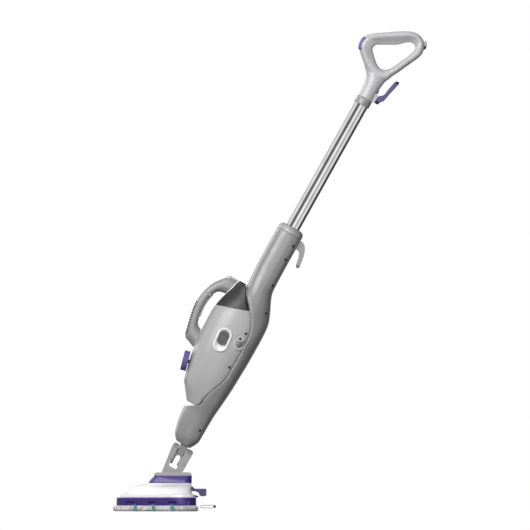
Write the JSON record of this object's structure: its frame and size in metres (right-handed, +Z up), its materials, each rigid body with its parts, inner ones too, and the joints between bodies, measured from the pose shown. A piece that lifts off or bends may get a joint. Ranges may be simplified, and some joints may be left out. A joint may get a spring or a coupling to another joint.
{
  "type": "steam mop",
  "caption": "Steam mop with a triangular floor head, two-axis joint, docked handheld steamer with carry handle, bright steel tube and D-shaped hand grip.",
  "frame": {"origin": "on the floor under the pad, straight below the pitch axle of the joint", "axes": "+Z up from the floor, +X towards the user (the mop leans back that way and its head points to -X), +Y to the mop's right"},
  "size_m": [0.7104, 0.291, 1.0808],
  "materials": {
    "purple_gloss": "glossy deep purple",
    "lilac_gloss": "glossy lilac",
    "white_gloss": "glossy white",
    "frame_plastic": "satin mid grey",
    "unit_plastic": "satin light grey",
    "silver_plastic": "glossy silver white",
    "bezel_plastic": "glossy near white",
    "button_plastic": "satin grey",
    "dark_plastic": "matt near black",
    "rubber": "matt black",
    "pad_fabric": "looped microfibre, off-white and grey",
    "stripe_fabric": "bristled teal bands",
    "loop_fabric": "white woven tape",
    "polished_steel": "polished bright",
    "steel": "satin",
    "brass": "machined",
    "smoked_tank": "smoked translucent",
    "board": "green circuit board"
  },
  "bodies": {
    "frame": {"frame_left": "frame_plastic", "frame_right": "frame_plastic", "socket_collar": "frame_plastic", "fixed_hook": "frame_plastic", "frame_screws": "steel", "steam_pipe": "rubber", "dock_seal": "rubber", "main_tube": "polished_steel", "grip_left": "silver_plastic", "grip_right": "silver_plastic", "grip_rim": "frame_plastic", "grip_accent": "lilac_gloss", "grip_end_cap": "unit_plastic", "end_cap_pad": "rubber", "hook_bracket": "silver_plastic", "hook_pin": "steel", "grip_screws": "steel", "tube_lock_spring": "steel", "swivel_tongue": "frame_plastic"},
    "fork": {"swivel_fork": "unit_plastic", "roll_pin": "steel"},
    "head": {"sole_plate": "purple_gloss", "steam_plate": "steel", "head_cover": "white_gloss", "head_trim": "purple_gloss", "neck_collar": "unit_plastic", "vent_inserts": "dark_plastic", "microfibre_pad": "pad_fabric", "pad_stripes": "stripe_fabric", "pull_loop": "loop_fabric", "loop_tip": "rubber", "pedal_pin": "steel", "pedal_spring": "steel", "rear_bumper": "rubber", "head_screws": "steel", "pitch_axle": "steel", "head_hose": "rubber"},
    "pedal": {"foot_pedal": "purple_gloss"},
    "hook": {"cord_hook": "purple_gloss"},
    "lock_button": {"tube_lock_button": "button_plastic"},
    "handheld": {"unit_left": "unit_plastic", "unit_right": "unit_plastic", "front_strip": "frame_plastic", "water_tank": "smoked_tank", "tank_cap": "dark_plastic", "carry_handle": "frame_plastic", "handle_strip": "dark_plastic", "trigger_pin": "steel", "steam_valve": "steel", "switch_bezel": "bezel_plastic", "cord_gland": "unit_plastic", "boiler": "steel", "pump": "dark_plastic", "circuit_board": "board", "nozzle": "brass", "unit_screws": "steel"},
    "knob": {"steam_knob": "lilac_gloss"},
    "slider": {"mode_switch": "dark_plastic"},
    "trigger": {"steam_trigger": "button_plastic"},
    "release": {"release_button": "silver_plastic"}
  },
  "joints": [
    {"name": "roll", "type": "hinge", "parent": "frame", "child": "fork", "pos_m": [0.03073, 0, 0.12999], "axis": [0.8729, 0, -0.4879], "range_deg": [-45, 45]},
    {"name": "pitch", "type": "hinge", "parent": "fork", "child": "head", "pos_m": [0, 0, 0.075], "axis": [0, 1, 0], "range_deg": [-35.8, 29.2]},
    {"name": "foot_pedal", "type": "hinge", "parent": "head", "child": "pedal", "pos_m": [0.042, 0, 0.0516], "axis": [0, 1, 0], "range_deg": [0, 5], "stiffness_Nm_per_rad": 8, "springref_deg": -2.86},
    {"name": "cord_hook", "type": "hinge", "parent": "frame", "child": "hook", "pos_m": [0.46886, 0, 0.92417], "axis": [0.8729, 0, -0.4879], "range_deg": [0, 180]},
    {"name": "tube_lock", "type": "slide", "parent": "frame", "child": "lock_button", "axis": [-0.8729, 0, 0.4879], "range_m": [0, 0.0025], "stiffness_N_per_m": 1500, "springref_m": -0.002},
    {"name": "handheld_lift", "type": "slide", "parent": "frame", "child": "handheld", "axis": [-0.2723, 0, 0.9622], "range_m": [0, 0.12]},
    {"name": "steam_knob", "type": "hinge", "parent": "handheld", "child": "knob", "pos_m": [0.04201, 0, 0.33792], "axis": [-0.9677, 0, 0.2521], "range_deg": [0, 270]},
    {"name": "mode_switch", "type": "slide", "parent": "handheld", "child": "slider", "axis": [-0.4099, 0, -0.9121], "range_m": [-0.003, 0.0115]},
    {"name": "steam_trigger", "type": "hinge", "parent": "handheld", "child": "trigger", "pos_m": [0.09109, 0, 0.48805], "axis": [0, 1, 0], "range_deg": [0, 5], "stiffness_Nm_per_rad": 2, "springref_deg": -2.86},
    {"name": "release_button", "type": "slide", "parent": "handheld", "child": "release", "axis": [-0.4879, 0, -0.8729], "range_m": [0, 0.002], "stiffness_N_per_m": 1000, "springref_m": -0.002}
  ]
}
